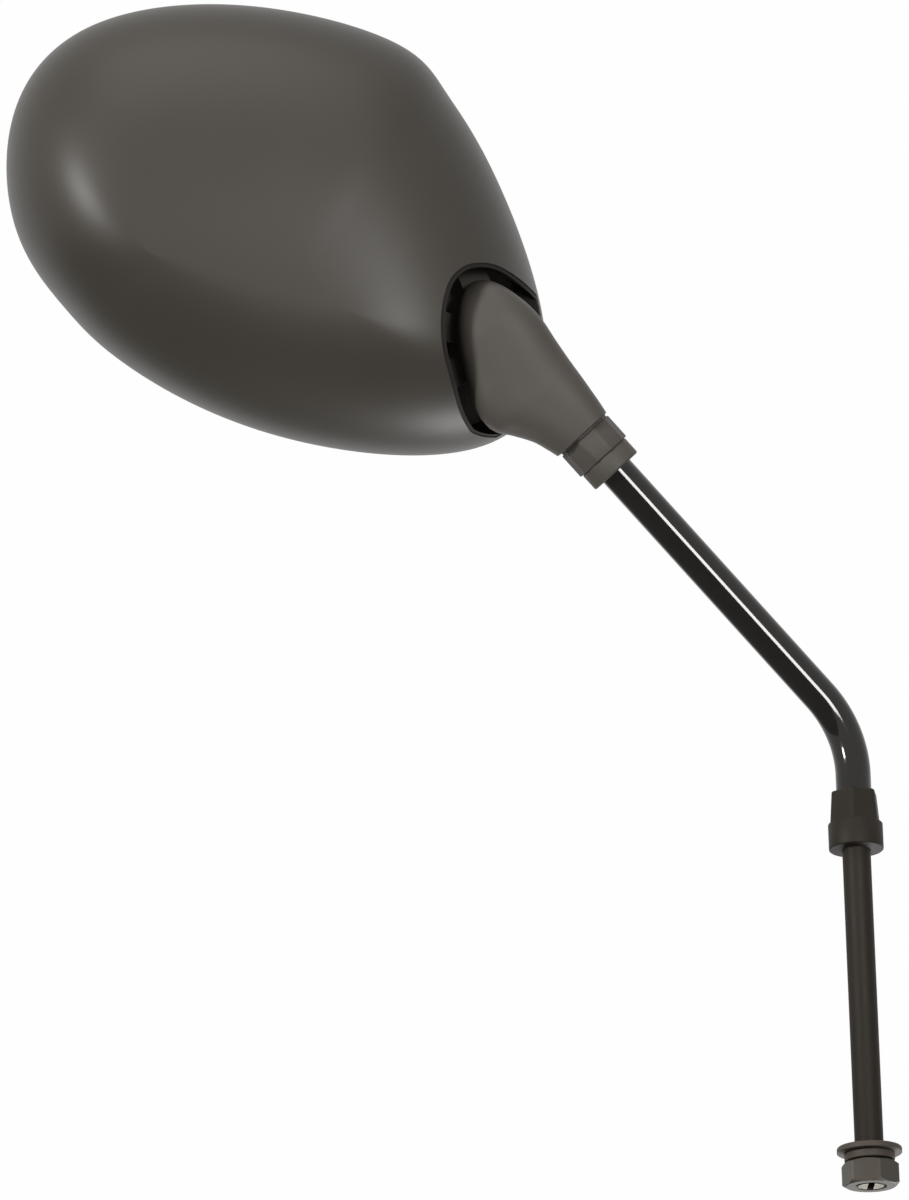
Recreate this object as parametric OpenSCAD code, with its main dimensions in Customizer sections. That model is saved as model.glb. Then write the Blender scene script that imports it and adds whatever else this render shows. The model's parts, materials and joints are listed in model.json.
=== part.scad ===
// Motorcycle mirror for the rider's right hand, seen from the front of the machine.
// The origin is the centre of the shoulder's seat, and +Z runs up along the stud.

/* [Arm] */
// Diameter of the bent rod
rod_d = 10; // [9:0.5:11]
// Height of the elbow above the shoulder seat
elbow_z = 35.5; // [34:0.5:60]
// Angle between the upper arm and the stud
arm_bend = 45; // [40:1:55]
// Radius of the bend along the rod's axis
bend_r = 32; // [24:1:34]
// From the elbow to the lower end of the neck
arm_run = 99; // [70:1:140]
// Depth of the rod in a neck of the drawn length
rod_depth = 32; // [24:1:33]

/* [Stud] */
// Diameter of the plain shank and its thread
stud_d = 8; // [7:0.5:9]
// Length of the shank between the seat and the flat washer
shank_len = 85.8; // [60:0.1:120]
// Length of the thread at the end of the stud
thread_len = 11; // [11:1:40]
// Diameter of the round shoulder
shoulder_d = 15.4; // [14.5:0.1:18]
// Height of the round shoulder
shoulder_h = 7.5; // [4:0.5:9]
// Width across the flats of the hexagon at its foot
hex_af = 13.4; // [12.8:0.1:14]
// How much narrower the hexagon is at its top
hex_taper = 1.4; // [0.4:0.1:1.8]
// Height of the hexagon above the shoulder
hex_h = 9.3; // [8:0.1:14]
// Diameter of the arm's threaded spigot in the hexagon
spigot_d = 8; // [7:0.5:8]
// Width of the slot across the stud's end
slot_w = 1.8; // [1:0.1:2]
// Depth of that slot
slot_deep = 2; // [1:0.1:3]

/* [Hardware] */
// Outer diameter of the flat washer
washer_d = 18; // [16:0.5:22]
// Thickness of the flat washer
washer_t = 1.6; // [1.2:0.1:2.5]
// Outer diameter of the spring washer
spring_washer_d = 14; // [13:0.5:16]
// Thickness of the spring washer's wire
spring_washer_t = 2.1; // [1.6:0.1:2.5]
// Height that the spring washer's ends stand apart
spring_washer_open = 0.6; // [0.3:0.1:2]
// Width across the flats of the nut
nut_af = 14; // [13:0.5:16]
// Height of the nut
nut_h = 6.6; // [5:0.1:8]

/* [Neck] */
// From the collar's end to the pivot, along the arm
neck_len = 48; // [44:1:50]
// Diameter of the collar's end ring
collar_d = 16; // [15:0.5:17]
// Length of the collar's end ring
collar_ring = 5.5; // [4:0.5:7]
// Length of the faceted band above the ring
collar_band = 8; // [6:0.5:10]
// Thickness of the neck behind the arm's axis
neck_back = 11; // [10:0.5:12]
// Thickness of the neck in front of the arm's axis
neck_front = 10; // [8:0.5:10.5]

/* [Ball joint] */
// Diameter of the ball
ball_d = 13; // [12:0.5:13.5]
// Distance from the arm's plane to the ball's centre
ball_offset = 7; // [6.5:0.5:8]
// Diameter of the ball pin below the ball
pin_d = 7; // [6:0.5:7]
// Length of the pin that is pressed into the neck
pin_len = 5; // [4:0.5:5.5]
// Thickness of the acetal cups
cup_t = 1.5; // [1.2:0.1:1.8]
// Thickness of the steel seats
seat_t = 1.6; // [1.2:0.1:2]
// Distance of the three clamp screws from the pivot
clamp_r = 30; // [29:0.5:33]
// Diameter of the clamp screws
clamp_screw_d = 4; // [3:0.5:4]

/* [Head] */
// Width of the head
head_w = 154; // [140:1:170]
// Height of the head
head_h = 131; // [120:1:145]
// From the arm's plane to the open front of the shell
rim_front = 26; // [25:0.5:28]
// Depth of the shell behind the arm's plane
dome_back = 22; // [20:0.5:26]
// Wall of the shell
shell_t = 2.5; // [2:0.1:3]
// Gap between the neck and the mouth of the shell
mouth_gap = 4.5; // [4:0.1:5.5]
// Gap that is left at the lower tip of the mouth
tip_gap = 1.1; // [1:0.1:2]
// Thickness of the rubber edging in the mouth
edging_t = 1.2; // [0.8:0.1:1.5]
// Lean of the head from upright
head_lean = 20; // [10:1:25]

/* [Glass] */
// Radius of the convex glass
glass_r = 1200; // [800:50:2000]
// Thickness of the glass
glass_t = 2; // [1.5:0.1:3]
// Thickness of the foam pad
pad_t = 1; // [0.8:0.1:1.2]
// Thickness of the glass carrier
carrier_t = 2.6; // [2.2:0.1:2.8]
// Width of the rubber strip around the glass
gasket_w = 2.2; // [1.5:0.1:3]

/* [Hidden] */
$fn = 64;

// Clearances: running for what turns, seat for what is screwed or laid together
running = 0.05;
seat = 0.1;

// The arm leans so that its upper run lies in the plane of the head
arm_turn = asin(tan(head_lean) / tan(arm_bend));
arm_way = [-sin(arm_bend) * cos(arm_turn), -sin(arm_bend) * sin(arm_turn), cos(arm_bend)];
pivot = [0, 0, elbow_z] + (arm_run + neck_len) * arm_way;
neck_turn = atan2(-arm_way.x, arm_way.z * cos(head_lean) - arm_way.y * sin(head_lean));
tangent = bend_r * tan(arm_bend / 2);
spigot_len = shoulder_h + hex_h - 3;
hex_top = shoulder_h + hex_h;
bend_step = 0.2;
step_d = rod_d + 0.02;

// Longer than any piece, for cuts that run right through
beyond = head_w;

// Heights of the loose hardware under the shank
spring_washer_h = spring_washer_t + spring_washer_open;
nut_top = -shank_len - washer_t - spring_washer_h;
stud_end = nut_top - nut_h;
thread_d = stud_d - 0.2;
edge_break = 0.4;
shoulder_r = shoulder_d / 2;
hex_turn = 20;
nut_turn = 46;

// The head's outline is a closed B-spline: its control points are measured across and up from
// the pivot, on a head drawn at this width and height
drawn = [154, 131];
outline = [[-2, 56], [-16, 75], [-23, 89], [-71, 103], [-120, 99], [-143, 73],
    [-142, 34], [-125, 13], [-113, -1], [-71, -26], [-2, -35], [20, -6]];
outline_steps = 6;
head_scale = [head_w / drawn.x, head_h / drawn.y];

// The crest of the dome is a short level ridge low on the shell
crest_mid = [-72 * head_scale.x, 18 * head_scale.y];
crest_half = 30 * head_scale.x;
crest_turn = -17;
dome_rings = 14;
dome_power = 0.9;

// Sections of the neck, drawn for a pivot at this height: height from the collar's end, reach to
// the left and to the right of the arm's axis, and share of the full thickness
drawn_neck = 48;
band_top = collar_ring + collar_band;
neck_sections = [[band_top, 9.3, 8.8, 0.86], [18, 10.6, 9.5, 0.9],
    [22, 12, 10, 0.93], [27, 15, 10.6, 0.97], [31, 17.8, 11, 1], [35, 18.7, 11.5, 1],
    [40, 17.9, 12.2, 1], [45, 15.6, 13, 1], [50, 13.1, 13.2, 1], [55, 10.4, 12.6, 0.98],
    [60, 6.8, 11.4, 0.85], [64, 2.7, 9.6, 0.6], [66.4, -1, 7, 0.32], [67.2, -3, 5.2, 0.1]];
neck_steps = 3;
neck_facets = 40;
// Below 1 the neck's oval sections are squarer than an ellipse
neck_square = 0.65;

// Ball joint, in the frame of the head
ball_r = ball_d / 2;
cup_r = ball_r + cup_t;
bowl_r = cup_r + running + seat_t;
recess_r = bowl_r + 1.2;
flange_rim = 3.5;
flange_r = bowl_r + flange_rim;
flange_room = 1;
pin_seat = ball_offset - recess_r;
pin_step = 1;
grub_d = 4;
grub_rise = 5;
back_band = [50, 76];
front_band = [100, 150];
back_face = -1;
base_drop = 2.8;
base_y = ball_offset - base_drop;
cap_rise = 0.6;
cap_y = ball_offset + cap_rise;
clamp_angles = [112, 160, 208];
clamp_bite = 6;
arm_w = 8;
spring_len = 4;
washer_y = cap_y + seat_t + spring_len;
clamp_washer_t = 0.8;
clamp_head_h = 1.8;
under_head = washer_y + clamp_washer_t - base_y + clamp_bite;
boss_d = 8;

// Layers of the glass, back from its crown
crown_y = rim_front + 0.5;
layer_gap = 0.05;
glass_mid = [-70 * head_scale.x, 38 * head_scale.y];
pad_y = crown_y - glass_t - layer_gap;
carrier_y = pad_y - pad_t - layer_gap;
glass_inset = shell_t + gasket_w + seat;
carrier_posts = [[-20, 55], [-70, 83], [-122, 62], [-88, -4]];
post_d = 7;
carrier_screw_d = 3;
carrier_bite = 9;
carrier_web = 0.8;
band_y = 16.5;
mouth_narrow = 12;
mouth_below = 19;
edging_inset = 0.2;
edging_reach = 3;
gasket_h = 2.6;
gasket_drop = 0.6;

// A point on a uniform cubic B-spline through four control points
function blend(a, b, c, d, t) = (pow(1 - t, 3) * a + (3 * pow(t, 3) - 6 * t * t + 4) * b
    + (3 * t * (1 + t - t * t) + 1) * c + pow(t, 3) * d) / 6;

// A closed curve on a ring of control points
function ring_curve(p, steps) = let (n = len(p)) [for (i = [0 : n * steps - 1])
    let (k = floor(i / steps), t = i / steps - k)
    blend(p[(k + n - 1) % n], p[k], p[(k + 1) % n], p[(k + 2) % n], t)];

// A smooth value between listed rows, with a cubic between each two
function between(a, b, c, d, t) = 0.5 * (2 * b + (c - a) * t + (2 * a - 5 * b + 4 * c - d) * t * t
    + (3 * b - a - 3 * c + d) * pow(t, 3));
function refined(rows, steps) = let (n = len(rows)) concat([for (i = [0 : (n - 1) * steps - 1])
    let (k = floor(i / steps), t = i / steps - k)
    between(rows[max(k - 1, 0)], rows[k], rows[k + 1], rows[min(k + 2, n - 1)], t)],
    [rows[n - 1]]);

// A closed path moved to its left by a distance, which is inwards on a path that runs
// anticlockwise
function unit(v) = v / norm(v);
function inset(p, d) = let (n = len(p)) [for (i = [0 : n - 1])
    let (t = unit(p[(i + 1) % n] - p[(i + n - 1) % n])) p[i] + d * [-t.y, t.x]];

rim = [for (q = ring_curve(outline, outline_steps)) [q.x * head_scale.x, q.y * head_scale.y]];

// Reach of the neck as a flat outline, anticlockwise from its lower right
stretch = neck_len - drawn_neck;
neck_rows = [for (r = refined(neck_sections, neck_steps))
    [r[0] + stretch * min(1, (r[0] - band_top) / (drawn_neck - band_top)), r[1], r[2], r[3]]];
rod_end = rod_depth + stretch;
neck_outline = concat([for (r = neck_rows) [r[2], r[0]]],
    [for (i = [len(neck_rows) - 1 : -1 : 0]) [-neck_rows[i][1], neck_rows[i][0]]]);

function squared(v) = sign(v) * pow(abs(v), neck_square);

// A solid skinned over rings of equal length, closed by a flat face at each end
module skin(rings) {
    n = len(rings[0]);
    last = len(rings) - 1;
    points = [for (r = rings) each r];
    sides = [for (k = [0 : last - 1]) for (i = [0 : n - 1]) let (j = (i + 1) % n, a = k * n, b = a + n)
        each [[a + j, a + i, b + i], [a + j, b + i, b + j]]];
    ends = [[for (i = [0 : n - 1]) i], [for (i = [n - 1 : -1 : 0]) last * n + i]];
    polyhedron(points = points, faces = concat(sides, ends), convexity = 6);
}

module in_head() {
    translate(pivot) rotate([head_lean, 0, 0]) children();
}

module in_neck() {
    in_head() rotate([0, -neck_turn, 0]) translate([0, 0, -neck_len]) children();
}

// Turns a shape drawn upright so that it points to the glass, and puts it at its depth
module facing_glass(x, y, z) {
    translate([x, y, z]) rotate([-90, 0, 0]) children();
}

// A wall along the path, between two depths
module wall(path, y0, y1) {
    translate([0, y1, 0]) rotate([90, 0, 0]) linear_extrude(y1 - y0) polygon(path);
}

module dome(cut, back, front) {
    path = inset(rim, cut);
    way = [cos(crest_turn), sin(crest_turn)];
    reach = max([for (q = path) abs((q - crest_mid) * way)]);
    rings = [for (k = [0 : dome_rings]) let (a = 88 * k / dome_rings, f = pow(cos(a), dome_power))
        [for (q = path) let (c = crest_mid + way * ((q - crest_mid) * way) * crest_half / reach,
            p = c + (q - c) * f) [p.x, front - (front + back) * pow(sin(a), dome_power), p.y]]];
    skin(rings);
}

module mirror_arm() color("#1b1a18") {
    rotate([0, 0, arm_turn]) {
        translate([0, 0, hex_top]) cylinder(d = rod_d, h = elbow_z - tangent - hex_top);
        translate([-bend_r, 0, elbow_z - tangent]) rotate([90, 0, 0]) rotate_extrude(angle = arm_bend)
            translate([bend_r, 0]) circle(d = rod_d);
        translate([0, 0, elbow_z]) rotate([0, -arm_bend, 0]) translate([0, 0, tangent])
            cylinder(d = rod_d, h = arm_run + rod_end - tangent);
        // A hairline step marks where the bend starts and ends
        translate([0, 0, elbow_z]) {
            translate([0, 0, -tangent - bend_step]) cylinder(d = step_d, h = 2 * bend_step);
            rotate([0, -arm_bend, 0]) translate([0, 0, tangent - bend_step])
                cylinder(d = step_d, h = 2 * bend_step);
        }
    }
    translate([0, 0, hex_top - spigot_len]) cylinder(d = spigot_d, h = spigot_len + 1);
}

module mounting_stud() color("#38342f") {
    difference() {
        union() {
            // The thread is drawn as a plain length that is a little thinner than the shank
            translate([0, 0, stud_end])
                cylinder(d1 = thread_d - 2 * edge_break, d2 = thread_d, h = edge_break);
            translate([0, 0, stud_end + edge_break]) cylinder(d = thread_d, h = thread_len);
            translate([0, 0, stud_end + thread_len]) cylinder(d = stud_d, h = -stud_end - thread_len);
            rotate_extrude() polygon([[0, 0], [shoulder_r - edge_break, 0], [shoulder_r, edge_break],
                [shoulder_r, shoulder_h - edge_break], [shoulder_r - edge_break, shoulder_h],
                [0, shoulder_h]]);
            translate([0, 0, shoulder_h]) rotate([0, 0, hex_turn])
                cylinder(d1 = hex_af / cos(30), d2 = (hex_af - hex_taper) / cos(30), h = hex_h, $fn = 6);
        }
        translate([0, 0, hex_top - spigot_len - 1]) cylinder(d = spigot_d + 2 * seat, h = spigot_len + 2);
        translate([-slot_w / 2, -stud_d, stud_end - slot_deep]) cube([slot_w, 2 * stud_d, 2 * slot_deep]);
    }
}

module flat_washer() color("#2e2924") {
    translate([0, 0, -shank_len - washer_t]) difference() {
        cylinder(d = washer_d, h = washer_t);
        translate([0, 0, -1]) cylinder(d = stud_d + 4 * seat, h = washer_t + 2);
    }
}

module spring_washer() color("#2a2622") {
    // One turn of square wire whose ends stand a little apart
    inner = stud_d / 2 + 2 * seat;
    outer = spring_washer_d / 2;
    rings = [for (a = [8 : 8 : 352]) let (z = nut_top + spring_washer_open * a / 360) [
        for (q = [[inner, 0], [outer, 0], [outer, spring_washer_t], [inner, spring_washer_t]])
            [q.x * cos(a), q.x * sin(a), z + q.y]]];
    skin([for (r = rings) [for (i = [3 : -1 : 0]) r[i]]]);
}

module hex_nut() color("#5a554d") {
    // The corners are rounded off by a cone at both faces
    corner = nut_af / cos(30) / 2;
    translate([0, 0, nut_top - nut_h]) difference() {
        intersection() {
            rotate([0, 0, nut_turn]) cylinder(r = corner, h = nut_h, $fn = 6);
            rotate_extrude() polygon([[0, 0], [nut_af / 2 - 0.2, 0], [corner, 0.8], [corner, nut_h - 0.8],
                [nut_af / 2 - 0.2, nut_h], [0, nut_h]]);
        }
        translate([0, 0, -1]) cylinder(d = stud_d + seat, h = nut_h + 2);
    }
}

module neck() color("#5c5751") {
    in_neck() difference() {
        union() {
            cylinder(d = collar_d, h = collar_ring);
            translate([0, 0, collar_ring]) cylinder(d = collar_d + 1.6, h = collar_band, $fn = 10);
            skin([for (r = neck_rows) [for (a = [0 : 360 / neck_facets : 359])
                let (mid = (r[2] - r[1]) / 2, half = (r[2] + r[1]) / 2,
                    deep = sin(a) < 0 ? neck_back : neck_front)
                [mid + half * squared(cos(a)), deep * r[3] * squared(sin(a)), r[0]]]]);
        }
        translate([0, 0, -1]) cylinder(d = rod_d + seat, h = rod_end + 1 + seat);
        // Room for the seats, and a flat under them
        translate([-beyond, back_face, neck_len - flange_r - flange_room]) cube(2 * beyond);
        translate([0, ball_offset, neck_len]) sphere(r = recess_r);
        facing_glass(0, pin_seat, neck_len) cylinder(d = pin_d + 2 * seat, h = recess_r);
        facing_glass(0, pin_seat - pin_len, neck_len)
            cylinder(d = pin_d - pin_step + seat, h = recess_r);
        facing_glass(0, rod_d / 2 - 1, band_top + grub_rise) cylinder(d = grub_d + seat, h = neck_front);
    }
}

module neck_grub_screw() color("#77736c") {
    // It bears on the rod, and its hexagon socket faces the rider
    bottom = rod_d / 2 + seat / 2;
    in_neck() facing_glass(0, bottom, band_top + grub_rise) difference() {
        cylinder(d = grub_d, h = neck_front * 0.86 - bottom);
        translate([0, 0, 1]) cylinder(d = grub_d * 0.55, h = neck_front, $fn = 6);
    }
}

module ball_stud() color("#b8b8b4") {
    in_head() difference() {
        union() {
            translate([0, ball_offset, 0]) rotate([-90, 0, 0]) sphere(d = ball_d);
            facing_glass(0, pin_seat, 0) cylinder(d = pin_d, h = recess_r - ball_r / 2);
            facing_glass(0, pin_seat - pin_len + seat, 0) cylinder(d = pin_d - pin_step, h = pin_len);
        }
        facing_glass(0, ball_offset + ball_r / 2, 0) cylinder(d = 5, h = ball_r, $fn = 6);
    }
}

// The outline of a band of a hollow sphere, between two angles from the ball pin
module cup_outline(r0, r1, from, to) {
    difference() {
        intersection() {
            circle(r = r1);
            polygon([[0, 0], for (k = [0 : 4]) let (a = from + (to - from) * k / 4)
                2 * ball_d * [sin(a), -cos(a)]]);
        }
        circle(r = r0);
    }
}

// Turns an outline about the ball pin's axis, round the ball's centre
module round_ball() {
    in_head() translate([0, ball_offset, 0]) rotate([-90, 0, 0]) rotate_extrude() children();
}

module liner_back() color("#232120") {
    round_ball() cup_outline(ball_r + running, cup_r, back_band[0], back_band[1]);
}

module liner_front() color("#232120") {
    round_ball() cup_outline(ball_r + running, cup_r, front_band[0], front_band[1]);
}

// A pressed seat: a bowl on the cup, a flange round it, and three arms to the clamp screws
module clamp_plate(y, band) {
    difference() {
        union() {
            round_ball() difference() {
                union() {
                    cup_outline(cup_r + running, bowl_r, band[0], band[1]);
                    translate([cup_r - 1, y - ball_offset]) square([flange_r - cup_r + 1, seat_t]);
                }
                circle(r = cup_r + running);
            }
            in_head() for (a = clamp_angles) rotate([0, -a, 0]) {
                translate([flange_r - 1.5, y + seat / 2, -arm_w / 2])
                    cube([clamp_r - flange_r + 1.5, seat_t - seat, arm_w]);
                facing_glass(clamp_r, y, 0) cylinder(d = arm_w + 2, h = seat_t);
            }
        }
        in_head() for (a = clamp_angles) rotate([0, -a, 0])
            facing_glass(clamp_r, y - 1, 0) cylinder(d = clamp_screw_d + 4 * seat, h = seat_t + 2);
    }
}

module socket_base() color("#2f2b28") {
    clamp_plate(base_y, back_band);
}

module socket_cap() color("#2f2b28") {
    clamp_plate(cap_y, front_band);
}

module at_clamps(y) {
    in_head() for (a = clamp_angles) rotate([0, -a, 0]) facing_glass(clamp_r, y, 0) children();
}

module socket_screws() color("#9c9c98") {
    at_clamps(base_y - clamp_bite) difference() {
        union() {
            cylinder(d = clamp_screw_d, h = under_head);
            translate([0, 0, under_head]) cylinder(d = 1.8 * clamp_screw_d, h = clamp_head_h);
        }
        translate([0, 0, under_head + clamp_head_h - 1]) {
            translate([-2.2, -0.5, 0]) cube([4.4, 1, 2]);
            translate([-0.5, -2.2, 0]) cube([1, 4.4, 2]);
        }
    }
}

module socket_springs() color("#2f2b28") {
    wire = 0.8;
    coil_r = clamp_screw_d / 2 + wire / 2 + 0.3;
    turns = 3;
    rise = spring_len - wire;
    at_clamps(cap_y + seat_t + wire / 2)
        skin([for (k = [0 : turns * 12]) let (a = 30 * k, z = rise * k / (turns * 12))
            [for (b = [0 : 45 : 315]) let (r = coil_r + wire / 2 * cos(b))
                [r * cos(a), r * sin(a), z - wire / 2 * sin(b)]]]);
}

module socket_washers() color("#9c9c98") {
    at_clamps(washer_y) difference() {
        cylinder(d = 2 * clamp_screw_d + 0.6, h = clamp_washer_t);
        translate([0, 0, -1]) cylinder(d = clamp_screw_d + 2 * seat, h = clamp_washer_t + 2);
    }
}

module mouth(grow, y1) {
    // The neck's outline grown by the gap, which narrows to a tip at the lower left, and carried
    // down past the rim
    wide = inset(neck_outline, -grow);
    tight = inset(neck_outline, mouth_gap - tip_gap - grow);
    path = [for (i = [0 : len(wide) - 1])
        let (t = (neck_len - wide[i].y - mouth_narrow) / (mouth_below - mouth_narrow))
        2 * i < len(wide) ? wide[i] : wide[i] + (tight[i] - wide[i]) * max(0, min(1, t))];
    high = [for (q = path) if (q.y > neck_len - mouth_below) q];
    in_neck_plane() wall(concat([[path[0].x + mouth_gap, -collar_d]], high, [[-2 * collar_d, -collar_d]]),
        -beyond, y1);
}

module in_neck_plane() {
    rotate([0, -neck_turn, 0]) translate([0, 0, -neck_len]) children();
}

// Height of the carrier's back face above a point of the head
function carrier_back(p) = let (q = [p.x * head_scale.x, p.y * head_scale.y] - glass_mid)
    carrier_y - carrier_t - q * q / (2 * glass_r);

module housing_shell() color("#4e4a45") {
    in_head() difference() {
        dome(0, dome_back, rim_front);
        difference() {
            dome(shell_t, dome_back - shell_t, rim_front + 1);
            for (a = clamp_angles) rotate([0, -a, 0])
                facing_glass(clamp_r, base_y - beyond, 0) cylinder(d = boss_d, h = beyond);
            for (p = carrier_posts) facing_glass(p.x * head_scale.x, carrier_back(p) - seat - beyond,
                p.y * head_scale.y) cylinder(d = post_d, h = beyond);
        }
        mouth(mouth_gap, band_y);
        for (a = clamp_angles) rotate([0, -a, 0])
            facing_glass(clamp_r, base_y - clamp_bite - 0.5, 0)
                cylinder(d = clamp_screw_d + seat, h = beyond);
        for (p = carrier_posts) facing_glass(p.x * head_scale.x, carrier_back(p) - carrier_bite,
            p.y * head_scale.y) cylinder(d = carrier_screw_d + seat, h = beyond);
    }
}

module mouth_edging() color("#161514") {
    in_head() difference() {
        intersection() {
            difference() {
                mouth(mouth_gap - seat, band_y - seat);
                mouth(mouth_gap - edging_t, band_y - edging_t);
            }
            dome(edging_inset, dome_back - edging_inset, rim_front);
        }
        dome(shell_t + edging_reach, dome_back - shell_t - edging_reach, rim_front + 1);
    }
}

// The sphere that the glass is part of, with its crown at y
module glass_sphere(y) {
    translate([glass_mid.x, y - glass_r, glass_mid.y]) rotate([90, 0, 0]) sphere(r = glass_r, $fn = 256);
}

// A layer of the convex stack: its front face lies at y, at the crown
module layer(y, t, in) {
    intersection() {
        wall(inset(rim, in), 0, 2 * rim_front);
        difference() {
            glass_sphere(y);
            glass_sphere(y - t);
        }
    }
}

module glass_carrier() color("#625d56") {
    in_head() difference() {
        layer(carrier_y, carrier_t, glass_inset);
        for (p = carrier_posts) facing_glass(p.x * head_scale.x, 0, p.y * head_scale.y) {
            cylinder(d = carrier_screw_d + 2 * seat, h = beyond);
            translate([0, 0, carrier_back(p) + carrier_web])
                cylinder(d = 1.9 * carrier_screw_d + 8 * seat, h = beyond);
        }
    }
}

module carrier_screws() color("#9c9c98") {
    in_head() for (p = carrier_posts)
        facing_glass(p.x * head_scale.x, carrier_back(p) + carrier_web + seat - carrier_bite,
            p.y * head_scale.y) {
            cylinder(d = carrier_screw_d, h = carrier_bite);
            translate([0, 0, carrier_bite]) cylinder(d = 1.9 * carrier_screw_d, h = 1.2);
        }
}

module glass_pad() color("#151413") {
    in_head() layer(pad_y, pad_t, glass_inset + 1);
}

module mirror_glass() color("#c9d2d6") {
    in_head() layer(crown_y, glass_t, glass_inset);
}

module rim_gasket() color("#191816") {
    in_head() difference() {
        wall(inset(rim, shell_t + 3 * seat), rim_front - gasket_drop - gasket_h,
            rim_front - gasket_drop);
        wall(inset(rim, glass_inset - seat / 2), 0, beyond);
    }
}

mirror_arm();
mounting_stud();
flat_washer();
spring_washer();
hex_nut();
neck();
neck_grub_screw();
ball_stud();
liner_back();
liner_front();
socket_base();
socket_cap();
socket_screws();
socket_springs();
socket_washers();
housing_shell();
mouth_edging();
glass_carrier();
carrier_screws();
glass_pad();
mirror_glass();
rim_gasket();
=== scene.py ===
"""A motorcycle mirror: a teardrop shell on a bent black rod, with its stud, washers and nut."""
import json
import math

import bmesh
import bpy
from mathutils import Matrix, Vector


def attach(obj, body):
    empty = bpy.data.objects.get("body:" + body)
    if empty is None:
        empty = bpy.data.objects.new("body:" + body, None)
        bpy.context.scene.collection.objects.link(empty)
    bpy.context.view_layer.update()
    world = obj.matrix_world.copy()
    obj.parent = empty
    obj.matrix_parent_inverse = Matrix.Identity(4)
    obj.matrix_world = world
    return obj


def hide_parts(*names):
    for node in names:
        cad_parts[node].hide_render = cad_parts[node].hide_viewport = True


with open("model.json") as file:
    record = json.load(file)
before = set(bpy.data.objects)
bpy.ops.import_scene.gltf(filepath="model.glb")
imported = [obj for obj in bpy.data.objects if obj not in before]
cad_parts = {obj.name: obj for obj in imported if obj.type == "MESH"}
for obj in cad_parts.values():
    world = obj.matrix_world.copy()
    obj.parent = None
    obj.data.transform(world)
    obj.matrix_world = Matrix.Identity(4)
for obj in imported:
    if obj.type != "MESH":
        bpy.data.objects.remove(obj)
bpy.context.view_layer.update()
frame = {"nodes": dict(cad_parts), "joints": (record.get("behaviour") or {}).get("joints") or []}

# Bent arm
# A 10 mm steel bar, bent cold over a former and stove enamelled gloss black. Its foot is turned
# down and screws into the stud's hexagon, and its top is pinched in the neck.
MM = 0.001


def linear(code):
    """An sRGB hex colour as linear light."""
    parts = [int(code[i:i + 2], 16) / 255 for i in (1, 3, 5)]
    return tuple(c / 12.92 if c <= 0.04045 else ((c + 0.055) / 1.055) ** 2.4 for c in parts) + (1.0,)


def add(tree, kind, links=None, **settings):
    """A shader node with its settings, and its inputs set to values or linked to (node, output)."""
    made = tree.nodes.new("ShaderNode" + kind)
    for key, value in settings.items():
        setattr(made, key, value)
    for key, value in (links or {}).items():
        if isinstance(value, tuple) and isinstance(value[0], bpy.types.Node):
            tree.links.new(value[0].outputs[value[1]], made.inputs[key])
        else:
            made.inputs[key].default_value = value
    return made


def blank(name):
    """A new material and its empty node tree."""
    made = bpy.data.materials.new(name)
    made.use_nodes = True
    made.node_tree.nodes.clear()
    return made, made.node_tree


def per_metre(size_mm):
    """The scale of a pattern whose spots lie this far apart."""
    return 1 / (size_mm * MM)


def skin(rings, closed=False):
    """Points and faces over rings of equal length. The row of rings is closed on itself, or capped."""
    n = len(rings[0])
    points = [p for ring in rings for p in ring]
    faces = []
    for k in range(len(rings) if closed else len(rings) - 1):
        a = k * n
        b = (k + 1) % len(rings) * n
        faces += [(a + (i + 1) % n, a + i, b + i, b + (i + 1) % n) for i in range(n)]
    if not closed:
        faces.append(tuple(range(n)))
        faces.append(tuple(range(len(points) - 1, len(points) - n - 1, -1)))
    return points, faces


def solid(name, points, faces):
    """A closed mesh object with its faces turned outwards."""
    mesh = bpy.data.meshes.new(name)
    mesh.from_pydata([tuple(p) for p in points], [], faces)
    form = bmesh.new()
    form.from_mesh(mesh)
    bmesh.ops.recalc_face_normals(form, faces=form.faces)
    form.to_mesh(mesh)
    form.free()
    made = bpy.data.objects.new(name, mesh)
    bpy.context.scene.collection.objects.link(made)
    return made


def dress(made, material, body, slot, *nodes, sharp=32):
    """Smooth faces with crisp edges, a finish, and the CAD body and nodes that a piece stands for."""
    form = bmesh.new()
    form.from_mesh(made.data)
    for face in form.faces:
        face.smooth = True
    for edge in form.edges:
        edge.smooth = len(edge.link_faces) == 2 and edge.calc_face_angle(0) < math.radians(sharp)
    form.to_mesh(made.data)
    form.free()
    made.data.materials.append(material)
    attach(made, body)
    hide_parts(*nodes)


def turns(count):
    """Equal angles round a full turn."""
    return [2 * math.pi * i / count for i in range(count)]


twist, pan = frame["joints"][0], frame["joints"][1]
FACING = Vector(twist["axis"])
HEAD_UP = Vector(pan["axis"])
LEVEL = Vector((1, 0, 0))
BALL_OFFSET = 7 * MM
PIVOT = Vector(twist["pos_m"]) - BALL_OFFSET * FACING

ROD_R = 5 * MM
SPIGOT_R = 4 * MM
BEND = math.radians(45)
BEND_R = 32 * MM
BEND_STEPS = 40
ROD_POINTS = 96
ARM_RUN = 99 * MM
NECK_LEN = 48 * MM
ROD_END = 32 * MM
HEX_TOP = 16.8 * MM
SPIGOT_END = 3 * MM
TURN = math.asin(FACING.z / FACING.y / math.tan(BEND))
UP_ARM = Vector((-math.sin(BEND) * math.cos(TURN), -math.sin(BEND) * math.sin(TURN), math.cos(BEND)))
ELBOW = PIVOT - (ARM_RUN + NECK_LEN) * UP_ARM
SIDEWAYS = Vector((-math.cos(TURN), -math.sin(TURN), 0))
ACROSS = Vector((math.sin(TURN), -math.cos(TURN), 0))
UP = Vector((0, 0, 1))


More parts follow.
